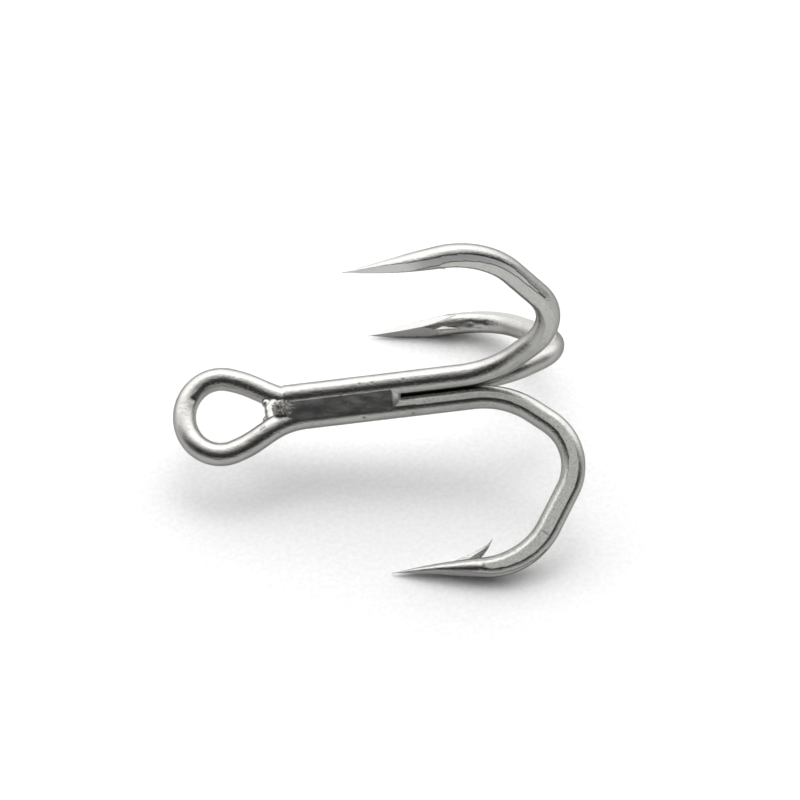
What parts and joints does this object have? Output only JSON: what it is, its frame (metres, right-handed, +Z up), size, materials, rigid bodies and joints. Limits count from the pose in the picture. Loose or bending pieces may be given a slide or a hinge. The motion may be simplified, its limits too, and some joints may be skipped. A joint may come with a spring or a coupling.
{
  "type": "treble hook",
  "caption": "Fishing hook with curved barbed points set evenly around one short brazed shank, ending in a closed line eye; lies on its lower points and bends.",
  "frame": {"origin": "under the middle of the hook's bounding box, on the surface it lies on", "axes": "+X along the shank from the eye towards the bends, +Z up, +Y to the far lower hook"},
  "size_m": [0.0402, 0.0342, 0.0291],
  "materials": {
    "plated_wire": "bright satin nickel plating over high-carbon steel wire",
    "plated_braze": "plated braze, smooth along the groove and grainy at the throat"
  },
  "bodies": {
    "root": {"double_hook_wire": "plated_wire", "single_hook_wire": "plated_wire", "front_braze_seam": "plated_braze", "rear_braze_seam": "plated_braze", "lower_braze_seam": "plated_braze", "braze_core": "plated_braze", "throat_braze": "plated_braze"}
  },
  "joints": []
}
